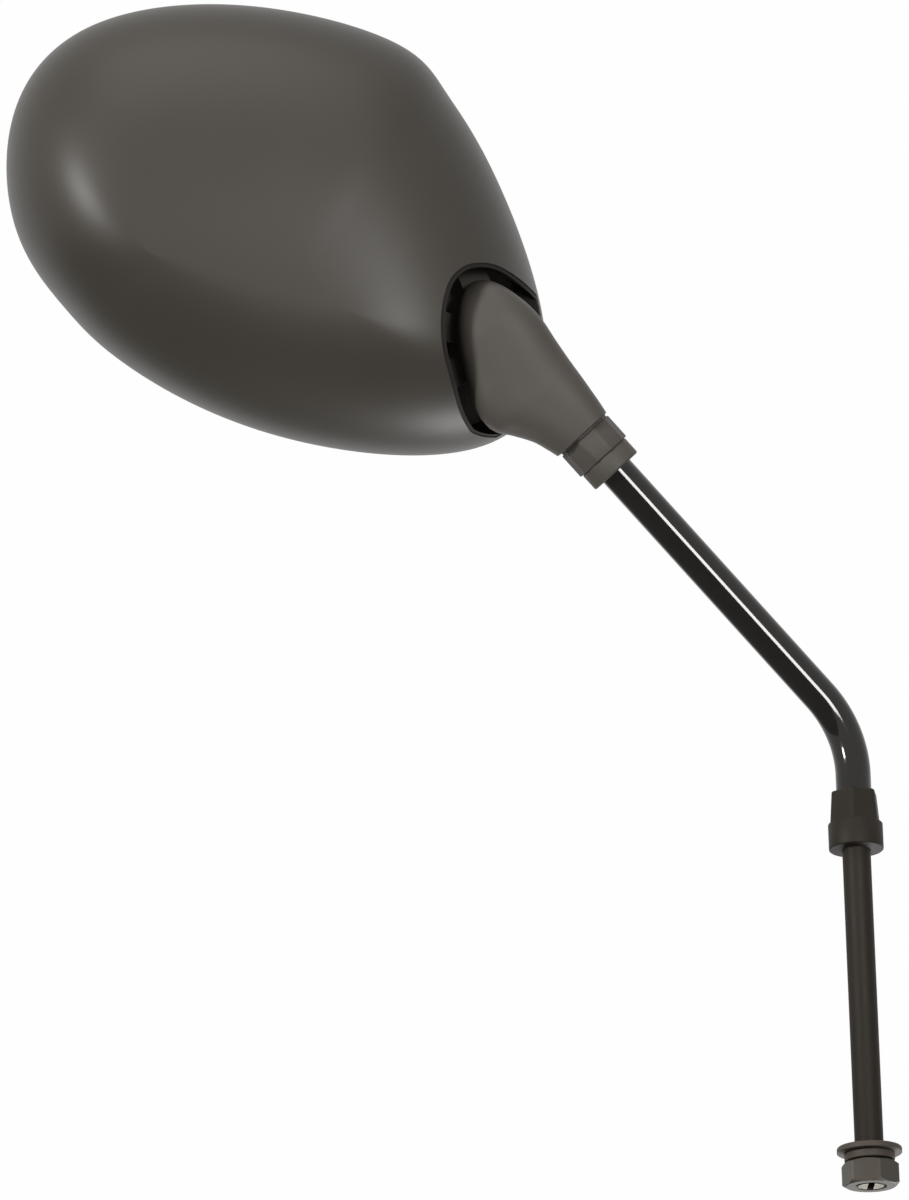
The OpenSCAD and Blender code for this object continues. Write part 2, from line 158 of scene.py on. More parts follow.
def arm_rings():
    """Rings along the rod: the spigot, the straight foot, the bend and the upper run."""
    bend_start = ELBOW.z - BEND_R * math.tan(BEND / 2)
    stations = [(UP * SPIGOT_END, UP, SPIGOT_R), (UP * HEX_TOP, UP, SPIGOT_R), (UP * HEX_TOP, UP, ROD_R)]
    centre = UP * bend_start + SIDEWAYS * BEND_R
    for k in range(BEND_STEPS + 1):
        a = BEND * k / BEND_STEPS
        stations.append((centre - SIDEWAYS * BEND_R * math.cos(a) + UP * BEND_R * math.sin(a),
                         UP * math.cos(a) + SIDEWAYS * math.sin(a), ROD_R))
    stations.append((ELBOW + UP_ARM * (ARM_RUN + ROD_END), UP_ARM, ROD_R))
    return [[c + r * (math.cos(a) * ACROSS + math.sin(a) * ACROSS.cross(d))
             for a in turns(ROD_POINTS)] for c, d, r in stations]


# The enamel is a hard even gloss over black, with an orange peel too faint to see but for the
# way that it softens the light along the rod
enamel, tree = blank("stove_enamel_black")
place = add(tree, "TexCoord")
peel = add(tree, "TexNoise", {"Vector": (place, "Object"), "Scale": per_metre(2.5), "Detail": 2.0})
dimple = add(tree, "Bump", {"Height": (peel, "Fac"), "Distance": 0.002 * MM})
tone = add(tree, "Mix", {0: (peel, "Fac"), 6: linear("#100e0b"), 7: linear("#171411")}, data_type="RGBA")
gloss = add(tree, "MapRange", {"Value": (peel, "Fac"), "To Min": 0.07, "To Max": 0.11})
coat = add(tree, "BsdfPrincipled", {
    "Base Color": (tone, 2), "Roughness": (gloss, "Result"), "IOR": 1.5, "Specular IOR Level": 0.38,
    "Normal": (dimple, "Normal")})
add(tree, "OutputMaterial", {"Surface": (coat, "BSDF")})
dress(solid("arm_rod", *skin(arm_rings())), enamel, "stem", "gloss_paint", "mirror_arm")

# Stud
# One turned steel piece: a hexagon to hold it by, a round shoulder and an 8 mm shank whose end
# has an M8 thread and a screwdriver slot. It is phosphated black, and its end face is left bare.
STUD_R = 4 * MM
THREAD_R = 3.9 * MM
THREAD_TOP = -85.7 * MM
STUD_END = -96.7 * MM
PITCH = 1.25 * MM
THREAD_DEEP = 0.6 * MM
THREAD_PROUD = 0.05 * MM
THREAD_STEPS = 72
GROOVE_SLOPE = 1.2
END_CHAMFER = 0.35 * MM
END_SLACK = 0.02 * MM
SOCKET_FLOOR = 2 * MM
SOCKET_GAP = 0.1 * MM
SHOULDER_R = 7.7 * MM
SHOULDER_TOP = 7.5 * MM
HEX_FOOT = 6.7 * MM
HEX_HEAD = 6 * MM
HEX_CORNER = 1.12
HEX_TURN = math.radians(20)
SLOT_HALF = 0.9 * MM
SLOT_DEEP = 2 * MM


def hexagon(a, flat, turn, most):
    """Radius of a hexagon at an angle, with its corners eased to a circle."""
    return min(flat / math.cos((a - turn) % (math.pi / 3) - math.pi / 6), most)


def ring(reach, height, turn=0.0, count=120):
    """Points about the Z axis. Radius and height are numbers, or rules of the angle."""
    points = []
    for step in turns(count):
        a = step + turn
        r = reach(a) if callable(reach) else reach
        z = height(a) if callable(height) else height
        points.append(Vector((r * math.cos(a), r * math.sin(a), z)))
    return points


def thread_ring(z):
    """A ring of the thread: a groove that climbs one pitch a turn, fading out at the top."""
    fade = min(1, (THREAD_TOP - z) / PITCH)

    def reach(a):
        phase = (z / PITCH + a / (2 * math.pi)) % 1
        groove = max(0, 1 - abs(2 * phase - 1) * GROOVE_SLOPE)
        side = THREAD_R + THREAD_PROUD - THREAD_DEEP * groove * fade
        return min(side, THREAD_R - END_CHAMFER + z - STUD_END)
    return ring(reach, z, HEX_TURN)


def flat_at(z):
    """Half the width across the tapered hexagon's flats at a height."""
    return HEX_HEAD + (HEX_FOOT - HEX_HEAD) * (HEX_TOP - z) / (HEX_TOP - SHOULDER_TOP)


def hex_ring(z, less=0.0):
    """A ring of the tapered hexagon."""
    most = flat_at(z) * HEX_CORNER - less
    return ring(lambda a: hexagon(a, flat_at(z) - less, HEX_TURN, most), z, HEX_TURN)


socket_r = SPIGOT_R + SOCKET_GAP
stud_rings = [ring(socket_r, SOCKET_FLOOR, HEX_TURN), ring(socket_r, HEX_TOP - 0.2 * MM, HEX_TURN),
              ring(socket_r + 0.2 * MM, HEX_TOP, HEX_TURN), hex_ring(HEX_TOP, 0.5 * MM),
              hex_ring(HEX_TOP - 0.12 * MM, 0.2 * MM), hex_ring(HEX_TOP - 0.4 * MM),
              hex_ring(SHOULDER_TOP + 0.2 * MM), hex_ring(SHOULDER_TOP, -0.06 * MM)]
# The shoulder's profile, then the shank's: millimetres off the radius, and height
for r, z in ((-0.2, 7.5), (-0.06, 7.44), (0, 7.3), (0, 0.4), (-0.06, 0.18), (-0.2, 0.05), (-0.4, 0)):
    stud_rings.append(ring(SHOULDER_R + r * MM, z * MM, HEX_TURN))
for r, z in ((0.25, 0), (0.07, -0.08), (0, -0.3), (0, THREAD_TOP / MM + 0.1)):
    stud_rings.append(ring(STUD_R + r * MM, z * MM, HEX_TURN))
for k in range(THREAD_STEPS + 1):
    stud_rings.append(thread_ring(THREAD_TOP + (STUD_END - THREAD_TOP) * k / THREAD_STEPS))


def block(name, low, high, place=Vector):
    """A closed box between two corners, set in place by a rule."""
    corners = [place((x, y, z)) for x in (low[0], high[0]) for y in (low[1], high[1])
               for z in (low[2], high[2])]
    return solid(name, corners, [(0, 1, 3, 2), (4, 6, 7, 5), (0, 4, 5, 1), (2, 3, 7, 6),
                                 (0, 2, 6, 4), (1, 5, 7, 3)])


def combine(made, how, *tools):
    """Cuts closed tools out of a piece, or keeps what they share, and removes the tools."""
    for tool in tools:
        change = made.modifiers.new("combine", "BOOLEAN")
        change.operation = how
        change.solver = "EXACT"
        change.object = tool
    bpy.context.view_layer.update()
    shown = made.evaluated_get(bpy.context.evaluated_depsgraph_get())
    mesh = bpy.data.meshes.new_from_object(shown)
    made.modifiers.clear()
    made.data = mesh
    for tool in tools:
        bpy.data.objects.remove(tool)
    return made


stud = solid("stud", *skin(stud_rings))
combine(stud, "DIFFERENCE", block("slot", (-SLOT_HALF, -2 * STUD_R, STUD_END - SLOT_DEEP),
                                  (SLOT_HALF, 2 * STUD_R, STUD_END + SLOT_DEEP)))
# Phosphate is a thin skin of dull grey-black crystals that holds oil, so it is uneven in tone
phosphate, tree = blank("phosphated_steel_black")
place = add(tree, "TexCoord")
crystal = add(tree, "TexNoise", {"Vector": (place, "Object"), "Scale": per_metre(0.5), "Detail": 3.0})
oil = add(tree, "TexNoise", {"Vector": (place, "Object"), "Scale": per_metre(9), "Detail": 3.0})
dark = add(tree, "Mix", {0: (oil, "Fac"), 6: linear("#1a160f"), 7: linear("#231e17")}, data_type="RGBA")
dull = add(tree, "MapRange", {"Value": (oil, "Fac"), "To Min": 0.45, "To Max": 0.65})
bump = add(tree, "Bump", {"Height": (crystal, "Fac"), "Distance": 0.015 * MM})
coat = add(tree, "BsdfPrincipled", {
    "Base Color": (dark, 2), "Roughness": (dull, "Result"), "IOR": 1.5, "Specular IOR Level": 0.17,
    "Normal": (bump, "Normal")})
add(tree, "OutputMaterial", {"Surface": (coat, "BSDF")})
# The bare end was faced in the lathe, so fine rings turn the light about the centre
faced, tree = blank("faced_steel")
place = add(tree, "TexCoord")
rings = add(tree, "TexWave", {"Vector": (place, "Object"), "Scale": per_metre(0.9), "Distortion": 0.3},
            wave_type="RINGS", rings_direction="Z")
cut = add(tree, "Bump", {"Height": (rings, "Fac"), "Distance": 0.01 * MM})
steel = add(tree, "BsdfPrincipled", {
    "Base Color": linear("#69645b"), "Metallic": 1.0, "Roughness": 0.34, "Normal": (cut, "Normal")})
add(tree, "OutputMaterial", {"Surface": (steel, "BSDF")})
dress(stud, phosphate, "stem", "stud_black", "mounting_stud")
stud.data.materials.append(faced)
for face in stud.data.polygons:
    if face.center.z < STUD_END + END_SLACK:
        face.material_index = 1

# Washers
# A blanked flat washer and a spring washer of square wire, its ends a little apart. Both are
# phosphated like the stud, but hold less oil, so they look drier and a little paler.
WASHER_IN = 4.2 * MM
WASHER_OUT = 9 * MM
WASHER_TOP = -85.8 * MM
WASHER_FOOT = WASHER_TOP - 1.6 * MM
# Its profile, from the bore's top edge down and round: millimetres in from each edge and face
washer_rings = [ring(WASHER_IN + r * MM, WASHER_TOP - z * MM) for r, z in ((0.12, 0), (0, 0.12))]
washer_rings += [ring(WASHER_IN + r * MM, WASHER_FOOT + z * MM) for r, z in ((0, 0.1), (0.1, 0))]
washer_rings += [ring(WASHER_OUT - r * MM, WASHER_FOOT + z * MM) for r, z in ((0.12, 0), (0, 0.12))]
washer_rings += [ring(WASHER_OUT - r * MM, WASHER_TOP - z * MM)
                 for r, z in ((0, 0.5), (0.09, 0.2), (0.3, 0.03), (0.5, 0))]
sooty, tree = blank("phosphated_steel_dry")
place = add(tree, "TexCoord")
crystal = add(tree, "TexNoise", {"Vector": (place, "Object"), "Scale": per_metre(0.6), "Detail": 3.0})
dark = add(tree, "Mix", {0: (crystal, "Fac"), 6: linear("#352f27"), 7: linear("#433b32")}, data_type="RGBA")
bump = add(tree, "Bump", {"Height": (crystal, "Fac"), "Distance": 0.015 * MM})
coat = add(tree, "BsdfPrincipled", {
    "Base Color": (dark, 2), "Roughness": 0.6, "IOR": 1.5, "Specular IOR Level": 0.3,
    "Normal": (bump, "Normal")})
add(tree, "OutputMaterial", {"Surface": (coat, "BSDF")})
dress(solid("washer_flat", *skin(washer_rings, closed=True)), sooty, "stem", "washer_black", "flat_washer")

WIRE_IN = 4.2 * MM
WIRE_OUT = 7 * MM
WIRE_H = 2.1 * MM
EASE = 0.2 * MM
WIRE_START = 8
WIRE_STOP = 352
NUT_TOP = -90.1 * MM
OPENING = 0.6 * MM
wire_section = [(WIRE_IN + EASE, 0), (WIRE_OUT - EASE, 0), (WIRE_OUT, EASE), (WIRE_OUT, WIRE_H - EASE),
                (WIRE_OUT - EASE, WIRE_H), (WIRE_IN + EASE, WIRE_H), (WIRE_IN, WIRE_H - EASE),
                (WIRE_IN, EASE)]
wire_rings = []
for degrees in range(WIRE_START, WIRE_STOP + 1, 2):
    a = math.radians(degrees)
    climb = NUT_TOP + OPENING * degrees / 360
    wire_rings.append([Vector((r * math.cos(a), r * math.sin(a), climb + z)) for r, z in wire_section])
dress(solid("washer_spring", *skin(wire_rings)), sooty, "stem", "washer_black", "spring_washer")

# Nut
# A cold-forged hexagon nut, bevelled at both faces and plated with dark zinc. Its bevels and
# corners are coloured paler: a painted highlight along its edges.
NUT_FLAT = 7 * MM
NUT_H = 6.6 * MM
NUT_TURN = math.radians(46)
BEVEL_START = 6.8 * MM
BEVEL_SLOPE = 0.6
NUT_BORE = 4.05 * MM
NUT_CORNER = 1.145
NUT_CHAMFER = 0.45 * MM
NUT_FOOT = NUT_TOP - NUT_H


def nut_reach(a):
    """Radius of the nut's sides, with corners that the forging leaves a little round."""
    return hexagon(a, NUT_FLAT, NUT_TURN, NUT_FLAT * NUT_CORNER)


def bevel(a):
    """How far the bevel runs down the side at an angle."""
    return (nut_reach(a) - BEVEL_START) * BEVEL_SLOPE


nut_rings = [ring(reach, height, NUT_TURN) for reach, height in (
    (NUT_BORE, NUT_TOP - NUT_CHAMFER), (NUT_BORE + NUT_CHAMFER, NUT_TOP), (BEVEL_START, NUT_TOP),
    (nut_reach, lambda a: NUT_TOP - bevel(a)), (nut_reach, lambda a: NUT_FOOT + bevel(a)),
    (BEVEL_START, NUT_FOOT), (NUT_BORE + NUT_CHAMFER, NUT_FOOT), (NUT_BORE, NUT_FOOT + NUT_CHAMFER))]
# Zinc plate is a metal with a fine matt grain, and the dark passivation dulls it unevenly
zinc, tree = blank("dark_zinc_plate")
place = add(tree, "TexCoord")
grains = add(tree, "TexNoise", {"Vector": (place, "Object"), "Scale": per_metre(0.7), "Detail": 3.0})
cloud = add(tree, "TexNoise", {"Vector": (place, "Object"), "Scale": per_metre(5), "Detail": 2.0})
edges = add(tree, "NewGeometry")
# Convex edges and corners get a paler colour, a painted highlight along them
edge_highlight_mask = add(tree, "MapRange", {"Value": (edges, "Pointiness"), "From Min": 0.5, "From Max": 0.6})
film = add(tree, "Mix", {0: (cloud, "Fac"), 6: linear("#24211d"), 7: linear("#302d28")}, data_type="RGBA")
edge_highlight_tone = add(tree, "Mix", {0: (edge_highlight_mask, "Result"), 6: (film, 2), 7: linear("#4a463f")}, data_type="RGBA")
dull = add(tree, "MapRange", {"Value": (cloud, "Fac"), "To Min": 0.32, "To Max": 0.5})
bump = add(tree, "Bump", {"Height": (grains, "Fac"), "Distance": 0.012 * MM})
plate = add(tree, "BsdfPrincipled", {
    "Base Color": (edge_highlight_tone, 2), "Metallic": 0.4, "Roughness": (dull, "Result"), "Specular IOR Level": 0.15,
    "Normal": (bump, "Normal")})
add(tree, "OutputMaterial", {"Surface": (plate, "BSDF")})
dress(solid("nut", *skin(nut_rings, closed=True)), zinc, "stem", "nut_steel", "hex_nut", sharp=18)

# Neck
# A die casting in aluminium, powder coated matt grey. Its foot is a round collar under a band of
# ten flats, and its front is cut away for the ball joint. A grub screw locks it on the rod.
COLLAR_R = 8 * MM
BAND_FLAT = 8.37 * MM
BAND_CORNER = 1.038
ROD_GAP = 0.05 * MM
BORE_END = ROD_END + 0.1 * MM
BORE_EASE = 0.3 * MM
NECK_BACK = 11 * MM
NECK_FRONT = 10 * MM
RECESS_R = 10.85 * MM
RECESS_FLOOR = -1 * MM
RECESS_START = 33.85 * MM
# Height from the collar's end, reach to the left and to the right, and share of the thickness
NECK_SECTIONS = ((13.5, 9.3, 8.8, 0.86), (18, 10.6, 9.5, 0.9), (22, 12, 10, 0.93), (27, 15, 10.6, 0.97),
                 (31, 17.8, 11, 1), (35, 18.7, 11.5, 1), (40, 17.9, 12.2, 1), (45, 15.6, 13, 1),
                 (50, 13.1, 13.2, 1), (55, 10.4, 12.6, 0.98), (60, 6.8, 11.4, 0.85), (64, 2.7, 9.6, 0.6),
                 (66.4, -1, 7, 0.32), (67.2, -3, 5.2, 0.1))
# The casting's sections start above the band, and close on this last one at the tip
CASTING_START = 14.1
NECK_TIP = (67.35, -3.9, 4.4, 0.03)
# Below 1 the sections are squarer than an ellipse
NECK_SQUARE = 0.65
NECK_POINTS = 160
ROW_STEPS = 8
NECK_TURN = math.atan2(-UP_ARM.x, UP_ARM.dot(HEAD_UP))


def in_head(p):
    """A point given across, towards the glass and up from the pivot, in the head's own plane."""
    return PIVOT + p[0] * LEVEL + p[1] * FACING + p[2] * HEAD_UP


def in_neck(p):
    """A point given across the arm, towards the glass and along the arm from the collar's end."""
    c, s = math.cos(NECK_TURN), math.sin(NECK_TURN)
    along = p[2] - NECK_LEN
    return in_head((p[0] * c - along * s, p[1], p[0] * s + along * c))


def smooth_rows(rows, steps):
    """A smooth curve through rows of numbers, with a cubic between each two."""
    made = []
    last = len(rows) - 1
    for k in range(last):
        a, b, c, d = rows[max(k - 1, 0)], rows[k], rows[k + 1], rows[min(k + 2, last)]
        for i in range(steps):
            t = i / steps
            made.append([0.5 * (2 * q + (r - p) * t + (2 * p - 5 * q + 4 * r - s) * t * t
                                + (3 * q - p - 3 * r + s) * t ** 3) for p, q, r, s in zip(a, b, c, d)])
    return made + [list(rows[last])]


def collar_ring(reach, s):
    """A round or ten-sided ring of the collar."""
    row = []
    for a in turns(NECK_POINTS):
        r = reach(a) if callable(reach) else reach
        row.append(in_neck((r * math.cos(a), r * math.sin(a), s)))
    return row


def band_reach(less=0.0):
    """Rule for the ten flats, with eased corners."""
    tenth = math.pi / 5
    return lambda a: min(BAND_FLAT / math.cos(a % tenth - tenth / 2), BAND_FLAT * BAND_CORNER) - less


def squared(v):
    """A sine or cosine pulled out towards the corners of its square."""
    return math.copysign(abs(v) ** NECK_SQUARE, v)


def neck_ring(left, right, share, s):
    """A squarish oval section of the neck, deeper behind the arm than in front."""
    mid, half = (right - left) / 2, (right + left) / 2
    return [in_neck((mid + half * squared(math.cos(a)),
                     (NECK_BACK if math.sin(a) < 0 else NECK_FRONT) * share * squared(math.sin(a)), s))
            for a in turns(NECK_POINTS)]


neck_rows = smooth_rows(NECK_SECTIONS, ROW_STEPS)
bore_r = ROD_R + ROD_GAP
neck_rings = [collar_ring(bore_r, BORE_END), collar_ring(bore_r, BORE_EASE),
              collar_ring(bore_r + BORE_EASE, 0)]
# The collar's profile, then the band's: millimetres off the radius, and height
for r, s in ((-0.6, 0), (-0.18, 0.12), (0, 0.5), (0, 5.1), (-0.1, 5.35), (-0.3, 5.5)):
    neck_rings.append(collar_ring(COLLAR_R + r * MM, s * MM))
for less, s in ((0.4, 5.5), (0.12, 5.6), (0, 5.9), (0, 13.1), (0.12, 13.4), (0.5, 13.5), (0.5, 14.1)):
    neck_rings.append(collar_ring(band_reach(less * MM), s * MM))
for height, left, right, share in neck_rows + [NECK_TIP]:
    if height > CASTING_START:
        neck_rings.append(neck_ring(left * MM, right * MM, share, height * MM))
neck = solid("neck_casting", *skin(neck_rings))
recess = bpy.data.objects.new("recess", bpy.data.meshes.new("recess"))
bpy.context.scene.collection.objects.link(recess)
form = bmesh.new()
bmesh.ops.create_uvsphere(form, u_segments=64, v_segments=32, radius=RECESS_R)
form.transform(Matrix.Translation(in_head((0, BALL_OFFSET, 0))))
form.to_mesh(recess.data)
form.free()
# Cutting tools reach this far, past all that they cut
CUTTER = 80 * MM
front = block("flat", (-CUTTER, RECESS_FLOOR, RECESS_START), (CUTTER, CUTTER, 2 * CUTTER), in_neck)
combine(neck, "DIFFERENCE", front, recess)
# Powder coat melts to a matt skin with a fine even pebble
powder, tree = blank("powder_coat_grey")
place = add(tree, "TexCoord")
pebble = add(tree, "TexNoise", {"Vector": (place, "Object"), "Scale": per_metre(0.6), "Detail": 2.0})
cloud = add(tree, "TexNoise", {"Vector": (place, "Object"), "Scale": per_metre(14), "Detail": 3.0})
tone = add(tree, "Mix", {0: (cloud, "Fac"), 6: linear("#3e3a35"), 7: linear("#46423d")}, data_type="RGBA")
bump = add(tree, "Bump", {"Height": (pebble, "Fac"), "Distance": 0.02 * MM})
coat = add(tree, "BsdfPrincipled", {
    "Base Color": (tone, 2), "Roughness": 0.55, "IOR": 1.5, "Specular IOR Level": 0.3,
    "Normal": (bump, "Normal")})
add(tree, "OutputMaterial", {"Surface": (coat, "BSDF")})
dress(neck, powder, "stem", "neck_grey", "neck", sharp=24)

# Shell
# One moulding in dark grey ABS with a fine satin texture, open to the rider and cut away round the
# neck. Bosses inside it carry the glass carrier and the ball joint's clamp screws.
RIM_FRONT = 26 * MM
DOME_BACK = 22 * MM
SHELL_T = 2.5 * MM
MOUTH_GAP = 4.5 * MM
BAND_Y = 16.5 * MM
TIP_GAP = 1.1 * MM
MOUTH_NARROW = 12 * MM
MOUTH_BELOW = 19 * MM
# Control points of the outline, in millimetres across and up from the pivot
OUTLINE = ((-2, 56), (-16, 75), (-23, 89), (-71, 103), (-120, 99), (-143, 73),
           (-142, 34), (-125, 13), (-113, -1), (-71, -26), (-2, -35), (20, -6))
OUTLINE_STEPS = 24
# The dome narrows to this crest, and stops just short of it
CREST_MID = Vector((-72, 18)) * MM
CREST_HALF = 30 * MM
CREST_WAY = Vector((math.cos(math.radians(-17)), math.sin(math.radians(-17))))
DOME_POWER = 0.9
DOME_STOP = math.radians(89.6)
CLAMP_R = 30 * MM
CLAMPS = (112, 160, 208)
POSTS = ((-20, 55), (-70, 83), (-122, 62), (-88, -4))
BOSS_R = 4 * MM
BOSS_TOP = 4.2 * MM
POST_R = 3.5 * MM
POST_GAP = 0.1 * MM
CARRIER_BACK = 20.8 * MM
GLASS_R = 1200 * MM
GLASS_MID = Vector((-70, 38)) * MM
# Radii of the rim's rounded edges
EDGE_IN = 0.5 * MM
EDGE_OUT = 0.4 * MM


def outline_curve(steps):
    """The head's outline: a closed uniform cubic B-spline."""
    n = len(OUTLINE)
    made = []
    for k in range(n):
        a, b, c, d = (Vector(OUTLINE[(k + i) % n]) * MM for i in (-1, 0, 1, 2))
        for i in range(steps):
            t = i / steps
            made.append(((1 - t) ** 3 * a + (3 * t ** 3 - 6 * t * t + 4) * b
                         + (3 * t * (1 + t - t * t) + 1) * c + t ** 3 * d) / 6)
    return made


def inset(path, distance):
    """A closed path moved inwards. The path runs anticlockwise."""
    n = len(path)
    made = []
    for i in range(n):
        t = (path[(i + 1) % n] - path[i - 1]).normalized()
        made.append(path[i] + distance * Vector((-t.y, t.x)))
    return made


def dome(name, cut, back, front, count=56, steps=OUTLINE_STEPS, flare=()):
    """A closed dome on the outline, inset by a cut. A flare widens its open end."""
    path = inset(outline_curve(steps), cut)
    reach = max(abs((q - CREST_MID).dot(CREST_WAY)) for q in path)
    rings = [[in_head((q.x, front + y, q.y)) for q in inset(outline_curve(steps), cut + more)]
             for more, y in flare]
    for k in range(count):
        a = DOME_STOP * k / (count - 1)
        f = math.cos(a) ** DOME_POWER
        y = front - (front + back) * math.sin(a) ** DOME_POWER
        row = []
        for q in path:
            c = CREST_MID + CREST_WAY * (q - CREST_MID).dot(CREST_WAY) * CREST_HALF / reach
            p = c + (q - c) * f
            row.append(in_head((p.x, y, p.y)))
        rings.append(row)
    return solid(name, *skin(rings))


def post(name, x, z, radius, low, high):
    """A round post along the line of sight, between two depths in the head."""
    rows = [[in_head((x + radius * math.cos(a), y, z + radius * math.sin(a))) for a in turns(32)]
            for y in (low, high)]
    return solid(name, *skin(rows))


def mouth(name, grow, front):
    """The prism that cuts the mouth: the neck's outline grown by a gap that narrows to a tip."""
    outline = [Vector((right, height)) * MM for height, left, right, share in neck_rows]
    outline += [Vector((-left, height)) * MM for height, left, right, share in reversed(neck_rows)]
    path = inset(outline, -grow)
    tight = inset(outline, MOUTH_GAP - TIP_GAP - grow)
    for i in range(len(neck_rows), len(path)):
        share = (NECK_LEN - path[i].y - MOUTH_NARROW) / (MOUTH_BELOW - MOUTH_NARROW)
        path[i] = path[i].lerp(tight[i], max(0, min(1, share)))
    high = [q for q in path if q.y > NECK_LEN - MOUTH_BELOW]
    base = -2 * COLLAR_R
    path = [Vector((path[0].x + MOUTH_GAP, base))] + high + [Vector((2 * base, base))]
    return solid(name, *skin([[in_neck((q.x, y, q.y)) for q in path] for y in (-CUTTER, front)]))


def clamp_place(degrees):
    """Where a clamp screw stands, across and up from the pivot."""
    a = math.radians(degrees)
    return CLAMP_R * math.cos(a), CLAMP_R * math.sin(a)


def sagged(y, x, z):
    """The depth of a layer that curves back from the glass's crown."""
    return y - (Vector((x, z)) - GLASS_MID).length_squared / (2 * GLASS_R)


def rounding(radius, sign):
    """Rings that round an open end, from its face to the start of the dome."""
    return [(sign * radius * (1 - math.sin(math.radians(a))), radius * math.cos(math.radians(a)))
            for a in (0, 20, 40, 60, 75)]


cavity = dome("cavity", SHELL_T, DOME_BACK - SHELL_T, RIM_FRONT - EDGE_IN, count=44,
              flare=[(-EDGE_IN, 2 * EDGE_IN)] + rounding(EDGE_IN, -1))
hollows = []
for degrees in CLAMPS:
    x, z = clamp_place(degrees)
    hollows.append(post("clamp_boss", x, z, BOSS_R, -CUTTER, BOSS_TOP))
for x, z in POSTS:
    top = sagged(CARRIER_BACK, x * MM, z * MM) - POST_GAP
    hollows.append(post("carrier_post", x * MM, z * MM, POST_R, -CUTTER, top))
combine(cavity, "DIFFERENCE", *hollows)
shell = dome("head_shell", 0, DOME_BACK, RIM_FRONT - EDGE_OUT, flare=rounding(EDGE_OUT, 1))
combine(shell, "DIFFERENCE", cavity, mouth("mouth", MOUTH_GAP, BAND_Y))
# ABS from a spark-eroded mould has a fine satin grain, drawn here a little coarser than the real
# 0.2 mm so that it shows, over flow clouds that shift the gloss very slightly
abs_plastic, tree = blank("moulded_abs_satin")
place = add(tree, "TexCoord")
spark = add(tree, "TexNoise", {"Vector": (place, "Object"), "Scale": per_metre(0.45), "Detail": 2.0})
flow = add(tree, "TexNoise", {"Vector": (place, "Object"), "Scale": per_metre(30), "Detail": 2.0})
tone = add(tree, "Mix", {0: (flow, "Fac"), 6: linear("#2f2b25"), 7: linear("#34302a")}, data_type="RGBA")
sheen = add(tree, "MapRange", {"Value": (flow, "Fac"), "To Min": 0.4, "To Max": 0.46})
bump = add(tree, "Bump", {"Height": (spark, "Fac"), "Distance": 0.006 * MM})
plastic = add(tree, "BsdfPrincipled", {
    "Base Color": (tone, 2), "Roughness": (sheen, "Result"), "IOR": 1.5, "Specular IOR Level": 0.32,
    "Normal": (bump, "Normal")})
add(tree, "OutputMaterial", {"Surface": (plastic, "BSDF")})
dress(shell, abs_plastic, "head", "shell_grey", "housing_shell", sharp=40)

# Edging in the mouth
# A black rubber extrusion pushed onto the cut edge of the shell. It hides the raw edge and keeps
# the neck from knocking on it.
EDGING_GAP = 0.1 * MM
EDGING_T = 1.2 * MM
EDGING_SUNK = 0.2 * MM
EDGING_DEEP = 5.5 * MM
edging = mouth("mouth_rubber", MOUTH_GAP - EDGING_GAP, BAND_Y - EDGING_GAP)
# The cuts keep this order: in another, the exact solver leaves nothing
combine(edging, "INTERSECT",
        dome("outside", EDGING_SUNK, DOME_BACK - EDGING_SUNK, RIM_FRONT, count=40, steps=12))
combine(edging, "DIFFERENCE", mouth("hole", MOUTH_GAP - EDGING_T, BAND_Y - EDGING_T))
combine(edging, "DIFFERENCE",
        dome("inside", EDGING_DEEP, DOME_BACK - EDGING_DEEP, RIM_FRONT + MM, count=40, steps=12))
# Black rubber is dull, with a soft bloom that lightens it in patches
rubber, tree = blank("black_rubber")
place = add(tree, "TexCoord")
bloom = add(tree, "TexNoise", {"Vector": (place, "Object"), "Scale": per_metre(3), "Detail": 3.0})
tone = add(tree, "Mix", {0: (bloom, "Fac"), 6: linear("#171412"), 7: linear("#201c19")}, data_type="RGBA")
bump = add(tree, "Bump", {"Height": (bloom, "Fac"), "Distance": 0.01 * MM})
dull = add(tree, "BsdfPrincipled", {
    "Base Color": (tone, 2), "Roughness": 0.75, "IOR": 1.5, "Specular IOR Level": 0.2,
    "Normal": (bump, "Normal")})
add(tree, "OutputMaterial", {"Surface": (dull, "BSDF")})
dress(edging, rubber, "head", "edging_rubber", "mouth_edging")

# Ball joint
# A ground steel ball on a pin pressed into the neck, between two cups of black acetal. Two
# pressed steel seats grip the cups, drawn together by three sprung screws in the shell.
def refinish(material, *names):
    """Gives CAD nodes whose shape is right their finish."""
    for name in names:
        made = frame["nodes"][name]
        made.data.materials.clear()
        made.data.materials.append(material)


# Ground steel is bright, with a trace of grease that dulls it in smears
ground, tree = blank("ground_steel")
place = add(tree, "TexCoord")
smear = add(tree, "TexNoise", {"Vector": (place, "Object"), "Scale": per_metre(4), "Detail": 3.0})
grease = add(tree, "MapRange", {"Value": (smear, "Fac"), "To Min": 0.12, "To Max": 0.35})
steel = add(tree, "BsdfPrincipled", {
    "Base Color": linear("#b4b1ab"), "Metallic": 1.0, "Roughness": (grease, "Result")})
add(tree, "OutputMaterial", {"Surface": (steel, "BSDF")})
refinish(ground, "ball_stud")

# Acetal is waxy and a little shiny where it was turned
acetal, tree = blank("black_acetal")
place = add(tree, "TexCoord")
tool_marks = add(tree, "TexNoise", {"Vector": (place, "Object"), "Scale": per_metre(1.2), "Detail": 1.0})
bump = add(tree, "Bump", {"Height": (tool_marks, "Fac"), "Distance": 0.01 * MM})
wax = add(tree, "BsdfPrincipled", {
    "Base Color": linear("#232120"), "Roughness": 0.35, "IOR": 1.48, "Normal": (bump, "Normal")})
add(tree, "OutputMaterial", {"Surface": (wax, "BSDF")})
refinish(acetal, "liner_back", "liner_front")

